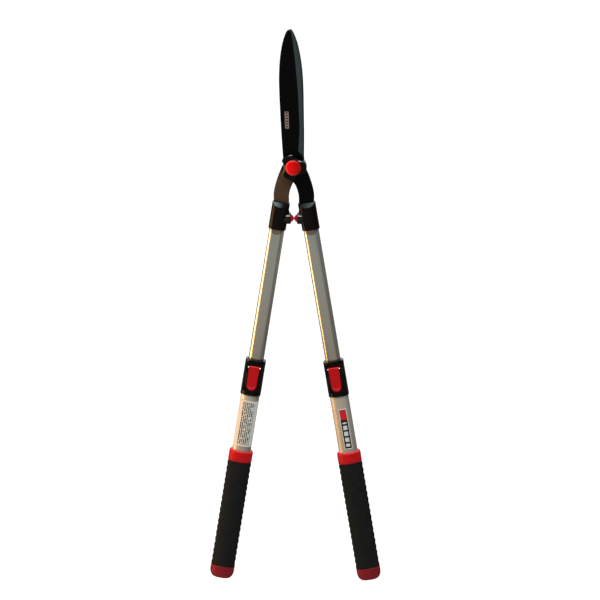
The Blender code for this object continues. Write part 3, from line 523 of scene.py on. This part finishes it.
# Ferrules: black nylon sockets moulded over the tangs, with sloping shoulders where the arm enters, and a
# round cup on the inside for the bumper. Two screws from behind hold the tang and the tube.
AXIS_OFFSET = 9.8 * MM
SHOULDER_TILT = (0.45, 0.85)    # upward share of the shoulder's normal
SHOULDER_BAND = 14 * MM
FERRULE_ROUND = 0.5 * MM
CUP_RADIUS = 8.7 * MM
CUP_BORE = 7 * MM
CUP_BAND = (5.1 * MM, 14.4 * MM)        # from the plane where the bumpers meet
CUP_ROUND = 1.2 * MM
BUMPER_DROP = 81.9 * MM
# Painted light on the ferrule shoulders: a pale painted reflection of the sky on one side, fading to painted
# shade on the other.
SHOULDER_PAINTED_LIGHT = {"left": (-11 * MM, 4 * MM, "#5E6C70", "#060707"),       # pale from here, dark from here, and colours
        "right": (10 * MM, -9 * MM, "#3C4648", "#0C0F0F")}
joints = {joint["name"]: joint for joint in frame["joints"]}
FRAMES = {}
AT_BUMPER = {}
for name, side in SIDES.items():
    axis = Vector(joints[name + "_telescope"]["axis"])
    FRAMES[name] = (Matrix.Translation(PIVOT + Vector((side * AXIS_OFFSET, 0, 0)))
                    @ Matrix.Rotation(atan2(axis.x, axis.z), 4, "Y"))
    AT_BUMPER[name] = (Matrix.Translation(PIVOT - Vector((0, 0, BUMPER_DROP)))
                       @ Matrix.Rotation(-side * pi / 2, 4, "Y"))


def handle_space(material, name):
    """Coordinates across, through and along a handle."""
    inverse = FRAMES[name].inverted()
    place = add_node(material, "TexCoord")
    return add_node(material, "Mapping", {"vector_type": "POINT", "Location": inverse.translation,
                                          "Rotation": inverse.to_euler()},
                    {"Vector": place.outputs["Object"]})


for name in SIDES:
    # The same nylon on the shoulder, with a painted sky reflection: a dull cool grey that fades to painted
    # shade towards one side.
    pale_from, dark_from, pale, dark = SHOULDER_PAINTED_LIGHT[name]
    shoulder_sky_reflection, shader = make_material(name + "_painted_reflection_black_nylon", {"Roughness": 0.7, "IOR": 1.5,
                                                              "Specular IOR Level": 0.03})
    local = handle_space(shoulder_sky_reflection, name)
    axes = add_node(shoulder_sky_reflection, "SeparateXYZ", None, {0: local.outputs["Vector"]})
    fade = add_node(shoulder_sky_reflection, "MapRange", {"From Min": pale_from, "From Max": dark_from},
                    {"Value": axes.outputs["X"]})
    tone = add_node(shoulder_sky_reflection, "Mix", {"data_type": "RGBA", 6: colour(pale), 7: colour(dark)},
                    {0: fade.outputs["Result"]})
    join(shoulder_sky_reflection, tone.outputs[2], shader.inputs["Base Color"])

    shape = copy_of(name + "_ferrule")
    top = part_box(name + "_ferrule")[1].z
    for face in shape.faces:
        if SHOULDER_TILT[0] < face.normal.z < SHOULDER_TILT[1] \
                and face.calc_center_median().z > top - SHOULDER_BAND:
            face.material_index = 1
    round_edges(shape, FERRULE_ROUND, segments=3, over=36)
    piece(name + "_ferrule_shell", shape, [nylon, shoulder_sky_reflection], HALVES[name], [name + "_ferrule"],
          flat=True)

    # The bumper's cup stands proud of the ferrule as a round band with a full radius at both ends.
    near, far = CUP_BAND
    stations = [(-far, disc(CUP_BORE))]
    stations += [(-far + drop, disc(CUP_RADIUS - inset)) for inset, drop in rounded(CUP_ROUND)[::-1]]
    stations += [(-near - drop, disc(CUP_RADIUS - inset)) for inset, drop in rounded(CUP_ROUND)]
    stations += [(-near, disc(CUP_BORE))]
    shape = skin(stations, points=64, closed=True)
    piece(name + "_cup_band", placed(shape, AT_BUMPER[name]), [rubbed], HALVES[name])

# Bumpers: two moulded rubber cones, red, that meet when the shears close and take up the knock. Each is
# pushed into the cup of its ferrule by a short stem.
SOCKET_RADIUS = 5.2 * MM        # of the stem's socket in the cup
SOCKET_DEPTH = 3.4 * MM
NOSE_BASE = 4.7 * MM
NOSE_RADIUS = 6.2 * MM
NOSE_TIP = 2.4 * MM
# The bumper's outline, stem and cone: distance from the plane where the two meet, and radius.
NOSE = ((NOSE_BASE + SOCKET_DEPTH, MIDDLE), (NOSE_BASE + SOCKET_DEPTH, SOCKET_RADIUS),
        (NOSE_BASE, SOCKET_RADIUS), (NOSE_BASE, NOSE_RADIUS - 0.3 * MM), (NOSE_BASE - 0.3 * MM, NOSE_RADIUS),
        (NOSE_BASE - 0.7 * MM, NOSE_RADIUS - 0.35 * MM), (2.6 * MM, 4.9 * MM), (1 * MM, NOSE_TIP + 0.45 * MM),
        (0.4 * MM, NOSE_TIP - 0.2 * MM), (0.15 * MM, NOSE_TIP - 0.9 * MM))

# Moulded rubber: crimson, nearly matt, with a dry bloom on it.
rubber, shader = make_material("moulded_red_rubber", {"Roughness": 0.5, "IOR": 1.5,
                                                      "Specular IOR Level": 0.25})
_, noise = grain(rubber, shader, size=0.5 * MM, depth=0.02 * MM, strength=0.6)
tone = add_node(rubber, "Mix", {"data_type": "RGBA", 6: colour("#84061A"), 7: colour("#960A20")},
                {0: noise.outputs["Fac"]})
join(rubber, tone.outputs[2], shader.inputs["Base Color"])

for name in SIDES:
    shape = skin([(-behind, disc(radius)) for behind, radius in NOSE], points=48)
    piece(name + "_bumper_cone", placed(shape, AT_BUMPER[name]), [rubber], HALVES[name],
          [name + "_bumper"])

# Handle tubes: extruded aluminium of flattened oval section, drawn, brushed along its length and clear
# anodised. The upper tube is screwed to the ferrule and slides in the lower one on a nylon bush.
TUBE_HALF = (11.5 * MM, 8.25 * MM)
OVAL_POWER = 2.4
OUTER_GROW = 2.6 * MM
WALLS = {"inner": 1.3 * MM, "outer": 1.2 * MM}
TUBE_ROUND = 0.25 * MM
DRAW_LINE = 0.5 * MM
DRAW_RUN = 83.33 * MM
REFLECTION_TONE_ENDS = (-100 * MM, -420 * MM)      # the painted reflection's tone changes between these places along the handle
PAINTED_SHADOW_REACH = 8 * MM                     # a painted shadow under the ferrule, reaching this far down in the middle of the tube
PAINTED_SHADOW_FADE = (-0.3 * MM, 0.5 * MM)
# The tones are painted reflection: the tube's colour at its upper and at its lower end.
FINISHES = {"inner": {"reflection_tones": ("#DADCD4", "#CFC0A6"), "gloss": (0.24, 0.32)},
            "outer": {"reflection_tones": ("#CFCABC", "#C8C2B4"), "gloss": (0.54, 0.62)}}


def oval(grow, share=1):
    """The handle's oval, moved out by grow and then shrunk to a share of its size."""
    a, b = TUBE_HALF

    def section(angle):
        share_x = copysign(abs(cos(angle)) ** (2 / OVAL_POWER), cos(angle))
        share_y = copysign(abs(sin(angle)) ** (2 / OVAL_POWER), sin(angle))
        normal_x = copysign(abs(share_x) ** (OVAL_POWER - 1), share_x) / a
        normal_y = copysign(abs(share_y) ** (OVAL_POWER - 1), share_y) / b
        step = grow / hypot(normal_x, normal_y)
        return share * (a * share_x + step * normal_x), share * (b * share_y + step * normal_y)
    return section


def places_of(name, node):
    """Where a node starts and ends along its handle's axis, from the level of the pivot."""
    inverse = FRAMES[name].inverted()
    along = [-(inverse @ vert.co).z for vert in frame["nodes"][node].data.vertices]
    return min(along), max(along)


# Brushed anodised aluminium: a grey metal with long fine draw lines, and a slow change of tone along the tube
# that is painted reflection, warmer and darker lower down where it mirrors warm light. The lines are drawn
# 0.5 mm apart so that they show. The inner tube is polished by the bush, and the outer one is satin.
for name in SIDES:
    for part, grow, body in (("inner", 0, HALVES[name]), ("outer", OUTER_GROW, name + "_slide")):
        upper, lower = FINISHES[part]["reflection_tones"]
        least, most = FINISHES[part]["gloss"]
        alloy, shader = make_material("%s_%s_anodised_aluminium" % (name, part), {"Metallic": 1})
        local = handle_space(alloy, name)
        drawn = add_node(alloy, "Mapping", {"Scale": (1 / DRAW_LINE, 1 / DRAW_LINE, 1 / DRAW_RUN)},
                         {"Vector": local.outputs["Vector"]})
        lines = add_node(alloy, "TexNoise", {"Scale": 1, "Detail": 2}, {"Vector": drawn.outputs["Vector"]})
        bump = add_node(alloy, "Bump", {"Distance": 0.01 * MM, "Strength": 0.35},
                        {"Height": lines.outputs["Fac"]})
        join(alloy, bump.outputs["Normal"], shader.inputs["Normal"])
        rough = add_node(alloy, "MapRange", {"From Min": NOISE_RANGE[0], "From Max": NOISE_RANGE[1],
                                             "To Min": least, "To Max": most},
                         {"Value": lines.outputs["Fac"]})
        join(alloy, rough.outputs["Result"], shader.inputs["Roughness"])
        axes = add_node(alloy, "SeparateXYZ", None, {0: local.outputs["Vector"]})
        down = add_node(alloy, "MapRange", {"From Min": REFLECTION_TONE_ENDS[0], "From Max": REFLECTION_TONE_ENDS[1]},
                        {"Value": axes.outputs["Z"]})
        tone = add_node(alloy, "Mix", {"data_type": "RGBA", 6: colour(upper), 7: colour(lower)},
                        {0: down.outputs["Result"]})
        # A painted shadow: the inner tube is painted a darker brown-grey in a bowed band just under the
        # ferrule.
        if part == "inner":
            edge = places_of(name, name + "_ferrule")[1]
            square = add_node(alloy, "Math", {"operation": "POWER", 1: 2}, {0: axes.outputs["X"]})
            bowed = add_node(alloy, "Math", {"operation": "MULTIPLY_ADD", 1: PAINTED_SHADOW_REACH / TUBE_HALF[0] ** 2,
                                             2: -edge - PAINTED_SHADOW_REACH}, {0: square.outputs[0]})
            above = add_node(alloy, "Math", {"operation": "SUBTRACT"},
                             {0: axes.outputs["Z"], 1: bowed.outputs[0]})
            mark = add_node(alloy, "MapRange", {"From Min": PAINTED_SHADOW_FADE[0], "From Max": PAINTED_SHADOW_FADE[1]},
                            {"Value": above.outputs[0]})
            tone = add_node(alloy, "Mix", {"data_type": "RGBA", 7: colour("#A89884")},
                            {0: mark.outputs["Result"], 6: tone.outputs[2]})
        join(alloy, tone.outputs[2], shader.inputs["Base Color"])

        node = "%s_%s_tube" % (name, part)
        top, bottom = places_of(name, node)
        bore = oval(grow - WALLS[part])
        shape = skin([(-top, oval(grow)), (-bottom, oval(grow)), (-bottom, bore), (-top, bore)],
                     points=96, closed=True)
        round_edges(shape, TUBE_ROUND)
        piece(node + "_extrusion", placed(shape, FRAMES[name]), [alloy], body, [node])

# Hidden nylon: the plug round the tang, the slide bush between the tubes and the clamping pad. They are
# moulded plain, and only show when the shears are taken apart, so the CAD nodes stay.
for side in SIDES:
    for name in ("tang_plug", "slide_bush", "lock_pad"):
        refinish(side + "_" + name, nylon)

# Lever locks: a black nylon housing on the mouth of the outer tube, with a flat deck, two ears that carry
# the pin and a rail on each side of the lever. It is moulded in one and screwed to the tube from behind.
HOUSING_ROUND = 0.6 * MM
for name in SIDES:
    shape = copy_of(name + "_lock_housing")
    round_edges(shape, HOUSING_ROUND, over=36)
    piece(name + "_lock_housing_shell", shape, [nylon], name + "_slide",
          [name + "_lock_housing"], flat=True)

# Beads on the housing: a rounded lip down the inner edge of each rail, which turns in beside the tab. They
# are moulded with the housing, of the same nylon, and are rubbed bright by the lever.
BEAD = 0.45 * MM
BEAD_OUT = 9.9 * MM
BEAD_RUN = 15 * MM
BEAD_BEND = 12 * MM
BEAD_TURN = radians(32)
BEAD_START = 17.2 * MM          # from the housing's top
BEAD_FRONT = 14.4 * MM          # in front of the handle's axis
for name in SIDES:
    start = places_of(name, name + "_lock_housing")[0] + BEAD_START
    shape = bmesh.new()
    for hand in (-1, 1):
        ring = bmesh.ops.create_circle(shape, segments=12, radius=BEAD, cap_ends=True)["verts"]
        bmesh.ops.translate(shape, verts=ring, vec=(hand * BEAD_OUT, -BEAD_FRONT, -start))
        cap = [face for face in shape.faces if all(vert in ring for vert in face.verts)]
        run = bmesh.ops.extrude_face_region(shape, geom=cap)["geom"]
        moved = [item for item in run if isinstance(item, bmesh.types.BMVert)]
        bmesh.ops.translate(shape, verts=moved, vec=(0, 0, -BEAD_RUN))
        end = [item for item in run if isinstance(item, bmesh.types.BMFace)]
        bmesh.ops.spin(shape, geom=end, cent=(hand * (BEAD_OUT - BEAD_BEND), 0, -start - BEAD_RUN),
                       axis=(0, hand, 0), angle=BEAD_TURN, steps=6)
    bmesh.ops.remove_doubles(shape, verts=shape.verts, dist=1e-6)
    piece(name + "_lock_beads", placed(shape, FRAMES[name]), [rubbed], name + "_slide")

# Levers: red ABS, moulded in one with the cam round the pin. The tab's end is round for the thumb, with a
# raised arc across it, and the edges and the arc carry a lighter painted highlight.
LEVER_ROUND = 0.8 * MM
RIDGE = 0.5 * MM
RIDGE_RADIUS = 5.6 * MM
RIDGE_REACH = radians(62)       # each way
RIDGE_INSET = 9 * MM            # the arc's centre, above the tab's end
RIDGE_SUNK = 0.1 * MM
TAB_END = 12 * MM               # the tab's front is taken from its last stretch

# ABS: a deeper red on the faces, and a pinker painted highlight on the rounded edges and the ridge.
lever_red = moulded_red("lever_red_abs", "#8E0109", "#9A030D", (0.24, 0.34))
lever_highlight_red = moulded_red("painted_highlight_lever_red_abs", "#B42A3A", "#C03444", (0.3, 0.4))
for name in SIDES:
    node = name + "_lock_lever"
    shape = copy_of(node)
    for face in round_edges(shape, LEVER_ROUND, segments=3, over=36):
        face.material_index = 1
    piece(name + "_flip_lever", shape, [lever_red, lever_highlight_red], name + "_lever", [node],
          flat=True)

    bottom = places_of(name, node)[1]
    inverse = FRAMES[name].inverted()
    tab = [inverse @ vert.co for vert in frame["nodes"][node].data.vertices]
    front = min(point.y for point in tab if -point.z > bottom - TAB_END)
    shape = bmesh.new()
    ring = bmesh.ops.create_circle(shape, segments=10, radius=RIDGE, cap_ends=True)["verts"]
    bmesh.ops.translate(shape, verts=ring, vec=(RIDGE_RADIUS, 0, 0))
    bmesh.ops.rotate(shape, verts=shape.verts, cent=(0, 0, 0),
                     matrix=Matrix.Rotation(pi / 2 - RIDGE_REACH, 3, "Y"))
    bmesh.ops.spin(shape, geom=shape.faces[:], cent=(0, 0, 0), axis=(0, 1, 0), angle=2 * RIDGE_REACH,
                   steps=20)
    bmesh.ops.translate(shape, verts=shape.verts, vec=(0, front + RIDGE_SUNK, -bottom + RIDGE_INSET))
    piece(name + "_lever_ridge", placed(shape, FRAMES[name]), [lever_highlight_red], name + "_lever")

# Labels: printed vinyl film on the front of the outer tubes. The left one is pale with columns of fine dark
# dashes in place of print. The right one is a dark panel with plain pale bars, a red end and a pale border.
DASH_PITCH = 2.8 * MM
DASH_LENGTH = 2.2 * MM
DASH_SHARE = 0.3                # half of a dash's width, as a share of the pitch
DASH_INK = (0.38, 0.43)         # there is ink where the noise is above these
COLUMN_APART = 7.3              # so far apart in the noise that columns don't match
PRINT_MARGIN = 3 * MM
PRINT_MIDDLE = 0.4 * MM
PRINT_HALF = 9.2 * MM
PAPER_PAINTED_LIGHT = (-12 * MM, 4 * MM)
BORDER = 1.1 * MM
BORDER_ROUND = 2 * MM
RED_END = 17 * MM
BAR_PITCH = 9.4 * MM
BAR_HALF = 3.3 * MM
BAR_WIDTH = 3.05 * MM           # half of it
BAR_MARGIN = 4 * MM
PANEL_HALF = 6.25 * MM
PANEL_MIDDLE = 2.3 * MM
FILM_EDGE = 0.5 * MM            # the edges through the film's thickness are shorter than this


def band(material, value, middle, half, soft=0.08 * MM, area=None):
    """1 where the value is nearer to the middle than half, within the area if one is given, and 0 outside."""
    off = add_node(material, "Math", {"operation": "SUBTRACT", 1: middle}, {0: value})
    off = add_node(material, "Math", {"operation": "ABSOLUTE"}, {0: off.outputs[0]})
    near = add_node(material, "MapRange", {"From Min": half + soft, "From Max": half - soft},
                    {"Value": off.outputs[0]}).outputs["Result"]
    if area:
        near = add_node(material, "Math", {"operation": "MULTIPLY"}, {0: near, 1: area}).outputs[0]
    return near


# Pale vinyl: satin white, with painted warm light that makes it a little warmer on the side that faces the
# light.
paper, shader = make_material("printed_pale_film", {"Roughness": 0.42, "IOR": 1.5,
                                                    "Specular IOR Level": 0.25})
top, bottom = places_of("left", "left_label")
local = handle_space(paper, "left")
axes = add_node(paper, "SeparateXYZ", None, {0: local.outputs["Vector"]})
count = add_node(paper, "Math", {"operation": "MULTIPLY", 1: 1 / DASH_PITCH}, {0: axes.outputs["X"]})
column = add_node(paper, "Math", {"operation": "FLOOR"}, {0: count.outputs[0]})
share = add_node(paper, "Math", {"operation": "FRACT"}, {0: count.outputs[0]})
along = add_node(paper, "Math", {"operation": "MULTIPLY", 1: 1 / DASH_LENGTH}, {0: axes.outputs["Z"]})
spot = add_node(paper, "CombineXYZ", None, {0: column.outputs[0], 1: along.outputs[0]})
apart = add_node(paper, "Mapping", {"Scale": (COLUMN_APART, 1, 1)}, {"Vector": spot.outputs[0]})
noise = add_node(paper, "TexNoise", {"Scale": 1, "Detail": 0}, {"Vector": apart.outputs["Vector"]})
dashes = add_node(paper, "MapRange", {"From Min": DASH_INK[0], "From Max": DASH_INK[1]},
                  {"Value": noise.outputs["Fac"]})
printed = band(paper, axes.outputs["Z"], -(top + bottom) / 2, (bottom - top) / 2 - PRINT_MARGIN,
               area=dashes.outputs["Result"])
printed = band(paper, axes.outputs["X"], PRINT_MIDDLE, PRINT_HALF, area=printed)
printed = band(paper, share.outputs[0], 0.5, DASH_SHARE, soft=0.06, area=printed)
# Painted light: the film is painted warmer towards its left side.
shade = add_node(paper, "MapRange", {"From Min": PAPER_PAINTED_LIGHT[0], "From Max": PAPER_PAINTED_LIGHT[1]},
                 {"Value": axes.outputs["X"]})
tone = add_node(paper, "Mix", {"data_type": "RGBA", 6: colour("#B5A58F"), 7: colour("#A7A9A2")},
                {0: shade.outputs["Result"]})
tone = add_node(paper, "Mix", {"data_type": "RGBA", 7: colour("#3C3C3A")}, {0: printed, 6: tone.outputs[2]})
join(paper, tone.outputs[2], shader.inputs["Base Color"])

# Dark vinyl: gloss black with a red end and plain bars, printed on the same pale film as its border.
panel, shader = make_material("printed_dark_film", {"Roughness": 0.3, "IOR": 1.5,
                                                    "Specular IOR Level": 0.3})
top, bottom = places_of("right", "right_label")
local = handle_space(panel, "right")
axes = add_node(panel, "SeparateXYZ", None, {0: local.outputs["Vector"]})
field = band(panel, axes.outputs["X"], PANEL_MIDDLE, PANEL_HALF - BORDER)
field = band(panel, axes.outputs["Z"], -(top + bottom) / 2, (bottom - top) / 2 - BORDER, area=field)
red_part = band(panel, axes.outputs["Z"], -top - RED_END / 2, RED_END / 2)
count = add_node(panel, "Math", {"operation": "MULTIPLY", 1: 1 / BAR_PITCH}, {0: axes.outputs["Z"]})
share = add_node(panel, "Math", {"operation": "FRACT"}, {0: count.outputs[0]})
bars = band(panel, share.outputs[0], 0.5, BAR_HALF / BAR_PITCH, soft=0.02)
bars = band(panel, axes.outputs["X"], PANEL_MIDDLE, BAR_WIDTH, area=bars)
bars = band(panel, axes.outputs["Z"], -(top + RED_END + bottom) / 2,
            (bottom - top - RED_END) / 2 - BAR_MARGIN, area=bars)
tone = add_node(panel, "Mix", {"data_type": "RGBA", 6: colour("#0A0A0A"), 7: colour("#A5A8A2")}, {0: bars})
tone = add_node(panel, "Mix", {"data_type": "RGBA", 7: colour("#A00A14")}, {0: red_part, 6: tone.outputs[2]})
tone = add_node(panel, "Mix", {"data_type": "RGBA", 6: colour("#B4B6B0")}, {0: field, 7: tone.outputs[2]})
join(panel, tone.outputs[2], shader.inputs["Base Color"])

for name, material, slot in (("left", paper, "label_film"), ("right", panel, "panel_film")):
    shape = copy_of(name + "_label")
    if name == "right":
        corners = [edge for edge in shape.edges if edge.is_manifold and edge.calc_length() < FILM_EDGE
                   and edge.calc_face_angle() > radians(80)]
        bmesh.ops.bevel(shape, geom=corners, offset=BORDER_ROUND, segments=5, profile=0.5, affect="EDGES",
                        material=-1, clamp_overlap=True)
    piece(name + "_label_film", shape, [material], name + "_slide", [name + "_label"])

# Grip collars: red ABS rings at the top of the grips, with a full radius on the shoulder and a small lip
# over the rubber.
SEAT_GROW = 2.9 * MM
COLLAR_GROW = 6.4 * MM
COLLAR_ROUND = 2.6 * MM
COLLAR_LIP = 2.2 * MM
COLLAR_GROOVE = 0.5 * MM
COLLAR_EDGE = 0.3 * MM
COLLAR_TILT = 0.3               # least upward share of the shoulder's normal

# ABS: a plain red on the sides, a lighter painted highlight on the upward shoulder, and a darker painted
# shade on the lip, which is also duller.
collar_red = moulded_red("collar_red_abs", "#900306", "#9E0509", (0.36, 0.46))
collar_highlight_red = moulded_red("painted_highlight_collar_red_abs", "#A81A20", "#B22228", (0.3, 0.4))
collar_lip_shade_red = moulded_red("painted_shade_collar_red_abs", "#6A080E", "#760A12", (0.4, 0.5))
for name in SIDES:
    node = name + "_grip_collar"
    top, bottom = places_of(name, node)
    lip = -bottom + COLLAR_LIP
    seat, mouth = oval(SEAT_GROW), oval(SEAT_GROW + COLLAR_EDGE)
    outside, groove = oval(COLLAR_GROW), oval(COLLAR_GROW - COLLAR_GROOVE)
    stations = [(-top, mouth), (-top - COLLAR_EDGE, seat), (-bottom + COLLAR_EDGE, seat), (-bottom, mouth),
                (-bottom, groove), (-bottom + COLLAR_GROOVE, outside), (lip - COLLAR_EDGE, outside),
                (lip, groove), (lip + COLLAR_GROOVE, groove), (lip + COLLAR_GROOVE + COLLAR_EDGE, outside)]
    stations += [(-top - drop, oval(COLLAR_GROW - inset)) for inset, drop in rounded(COLLAR_ROUND, 6)]
    shape = skin(stations, points=96, closed=True)
    shape.normal_update()
    # Upward faces get the painted highlight, and the lip at the bottom gets the painted shade.
    for face in shape.faces:
        if face.normal.z > COLLAR_TILT:
            face.material_index = 1
        elif face.calc_center_median().z < lip:
            face.material_index = 2
    piece(name + "_collar_ring", placed(shape, FRAMES[name]), [collar_red, collar_highlight_red, collar_lip_shade_red],
          name + "_slide", [node])

# Grips: long sleeves of black rubber, moulded with shallow finger waves along both narrow sides and a fine
# all-over grain. They are pushed on over the outer tube, up to the collar.
GRIP_GROW = 5.75 * MM
GRIP_EDGE = 0.4 * MM
GRIP_END = 0.5 * MM
WAVE_PITCH = 9.3 * MM
WAVE_DEPTH = 0.8 * MM
WAVE_RINGS = 10
DUST_CLOUD = 8.333 * MM


def swelled(depth):
    """The grip's oval with its narrow sides moved out by this depth."""
    def section(angle):
        x, y = oval(GRIP_GROW)(angle)
        return x + copysign(depth * cos(angle) ** 2, x), y
    return section


# Moulded rubber: a dusty black without gloss. The grain is drawn 0.7 mm wide so that it shows.
grip, shader = make_material("moulded_black_rubber", {"Roughness": 0.8, "IOR": 1.5,
                                                      "Specular IOR Level": 0.1})
place, _ = grain(grip, shader, size=0.7 * MM, depth=0.06 * MM, strength=0.8)
dust = add_node(grip, "TexNoise", {"Scale": 1 / DUST_CLOUD, "Detail": 4}, {"Vector": place.outputs["Object"]})
tone = add_node(grip, "Mix", {"data_type": "RGBA", 6: colour("#080A09"), 7: colour("#151716")},
                {0: dust.outputs["Fac"]})
join(grip, tone.outputs[2], shader.inputs["Base Color"])

for name in SIDES:
    node = name + "_grip_sleeve"
    top, bottom = places_of(name, node)
    first, last = top + GRIP_END, bottom - GRIP_END
    count = round((last - first - 2 * GRIP_END) / WAVE_PITCH * WAVE_RINGS)
    stations = [(-bottom, oval(SEAT_GROW)), (-top, oval(SEAT_GROW)), (-top, oval(GRIP_GROW - GRIP_EDGE))]
    for step in range(count + 1):
        along = first + (last - first) * step / count
        depth = WAVE_DEPTH * (1 - cos(2 * pi * (along - top) / WAVE_PITCH)) / 2
        stations.append((-along, swelled(depth)))
    stations.append((-bottom, oval(GRIP_GROW - GRIP_EDGE)))
    shape = skin(stations, closed=True)
    piece(name + "_grip_rubber", placed(shape, FRAMES[name]), [grip], name + "_slide", [node])

# End caps: red ABS caps with a rounded end and three low ribs under it. A plug on each one is pressed into
# the tube, and its shoulder meets the end of the grip.
END_CAP_GROW = 6.5 * MM
END_CAP_EDGE = 0.4 * MM
END_CAP_GAP = 0.3 * MM
END_CAP_ROUND = 12 * MM
END_CAP_DRAWN_IN = 0.42         # share of its size by which the dome shrinks
END_CAP_STEPS = 8
END_CAP_FLAT = 0.3              # share of its size that is flat
END_CAP_MIDDLE = 0.05
PLUG_LENGTH = 22 * MM
PLUG_GROW = 1.1 * MM
CAP_RIB = 1.2 * MM
CAP_RIB_LENGTH = 9 * MM
CAP_RIB_PITCH = 5 * MM
CAP_RIB_SUNK = 0.4 * MM
CAP_RIB_ROUND = 0.3 * MM

# ABS: a dark dull red, softened by being stood on the ground.
dull_red = moulded_red("dull_red_abs", "#600A12", "#6C0E16", (0.4, 0.5))
for name in SIDES:
    node = name + "_end_cap"
    top, bottom = places_of(name, node)
    rim = top + PLUG_LENGTH + END_CAP_GAP
    stations = [(-top, oval(PLUG_GROW, END_CAP_MIDDLE)), (-top, oval(PLUG_GROW)), (-rim, oval(PLUG_GROW)),
                (-rim, oval(END_CAP_GROW - END_CAP_EDGE)), (-rim - END_CAP_EDGE, oval(END_CAP_GROW))]
    for step in range(END_CAP_STEPS + 1):
        turn = pi / 2 * step / END_CAP_STEPS
        share = 1 - END_CAP_DRAWN_IN * (1 - cos(turn))
        stations.append((-bottom + END_CAP_ROUND * (1 - sin(turn)), oval(END_CAP_GROW, share)))
    stations += [(-bottom, oval(END_CAP_GROW, END_CAP_FLAT)), (-bottom, oval(END_CAP_GROW, END_CAP_MIDDLE))]
    shape = skin(stations, points=96)
    piece(name + "_end_cap_dome", placed(shape, FRAMES[name]), [dull_red], name + "_slide",
          [node])

    shape = bmesh.new()
    for number in (-1, 0, 1):
        rib = bmesh.ops.create_cone(shape, cap_ends=True, segments=16, radius1=CAP_RIB, radius2=CAP_RIB,
                                    depth=CAP_RIB_LENGTH, matrix=Matrix.Rotation(pi / 2, 4, "X"))["verts"]
        bmesh.ops.translate(shape, verts=rib, vec=(number * CAP_RIB_PITCH, 0, -bottom + CAP_RIB_SUNK))
    round_edges(shape, CAP_RIB_ROUND)
    piece(name + "_end_cap_ribs", placed(shape, FRAMES[name]), [dull_red], name + "_slide")
